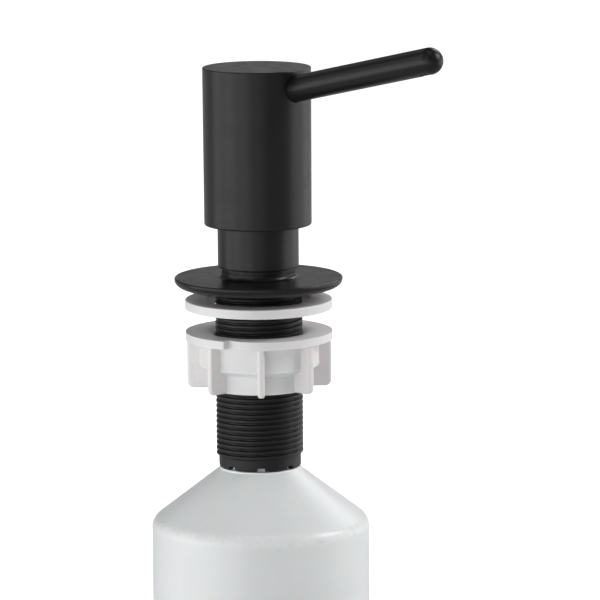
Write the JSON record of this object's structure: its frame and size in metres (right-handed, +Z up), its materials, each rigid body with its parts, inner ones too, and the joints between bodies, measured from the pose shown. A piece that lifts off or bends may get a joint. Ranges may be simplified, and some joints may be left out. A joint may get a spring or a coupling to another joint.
{
  "type": "soap pump dispenser",
  "caption": "Deck-mounted soap dispenser: push-down pump head with a long straight spout, threaded shank with clamp washer and wing nut, and a screw-on bottle.",
  "frame": {"origin": "centre of the bottle's flat base, on the pump's axis", "axes": "+Z up along the pump's axis, +X along the spout"},
  "size_m": [0.1124, 0.07, 0.2908],
  "materials": {
    "black_coat": "matte black coat",
    "black_plastic": "moulded satin",
    "white_plastic": "moulded satin",
    "bottle_plastic": "blow-moulded, slightly translucent",
    "valve_plastic": "natural moulded",
    "tube_plastic": "natural extruded",
    "seal_rubber": "plain",
    "steel": "bright"
  },
  "bodies": {
    "deck_fitting": {"flange": "black_coat", "deck_seal": "seal_rubber", "threaded_shank": "black_plastic"},
    "washer": {"clamp_washer": "white_plastic"},
    "nut": {"wing_nut": "white_plastic"},
    "bottle_carrier": {"bottle_seal": "seal_rubber"},
    "bottle": {"bottle": "bottle_plastic"},
    "pump": {"sleeve": "black_coat", "pump_housing": "valve_plastic", "guide_bush": "valve_plastic", "inlet_cage": "valve_plastic", "dip_tube": "tube_plastic", "return_spring": "steel"},
    "inlet_valve": {"inlet_ball": "steel"},
    "plunger": {"pump_stem": "valve_plastic", "piston": "tube_plastic"},
    "outlet_valve": {"outlet_ball": "steel"},
    "head": {"head_shell": "black_coat", "head_insert": "black_plastic", "spout": "black_coat", "spout_liner": "tube_plastic", "outlet_nozzle": "black_plastic"}
  },
  "joints": [
    {"name": "pump_press", "type": "slide", "parent": "pump", "child": "plunger", "axis": [0, 0, -1], "range_m": [0, 0.012], "stiffness_N_per_m": 250, "springref_m": -0.012, "deforming": ["return_spring"]},
    {"name": "head_swivel", "type": "hinge", "parent": "plunger", "child": "head", "pos_m": [0, 0, 0.22903], "axis": [0, 0, 1], "continuous": true},
    {"name": "pump_lift", "type": "slide", "parent": "deck_fitting", "child": "pump", "axis": [0, 0, 1], "range_m": [0, 0.215]},
    {"name": "nut_turn", "type": "hinge", "parent": "washer", "child": "nut", "pos_m": [0, 0, 0.17628], "axis": [0, 0, 1], "range_deg": [-4235, 720]},
    {"name": "washer_travel", "type": "slide", "parent": "deck_fitting", "child": "washer", "axis": [0, 0, 1], "range_m": [-0.02, 0.0034]},
    {"name": "bottle_turn", "type": "hinge", "parent": "bottle_carrier", "child": "bottle", "pos_m": [0, 0, 0], "axis": [0, 0, 1], "range_deg": [-1080, 0]},
    {"name": "bottle_drop", "type": "slide", "parent": "deck_fitting", "child": "bottle_carrier", "axis": [0, 0, 1], "range_m": [-0.009, 0]},
    {"name": "inlet_ball_lift", "type": "slide", "parent": "pump", "child": "inlet_valve", "axis": [0, 0, 1], "range_m": [0, 0.0018]},
    {"name": "outlet_ball_lift", "type": "slide", "parent": "plunger", "child": "outlet_valve", "axis": [0, 0, 1], "range_m": [0, 0.002]}
  ],
  "couplings": [
    {"joint": "washer_travel", "follows": "nut_turn", "m_per_rad": 0.00027056},
    {"joint": "bottle_drop", "follows": "bottle_turn", "m_per_rad": 0.00047746}
  ]
}
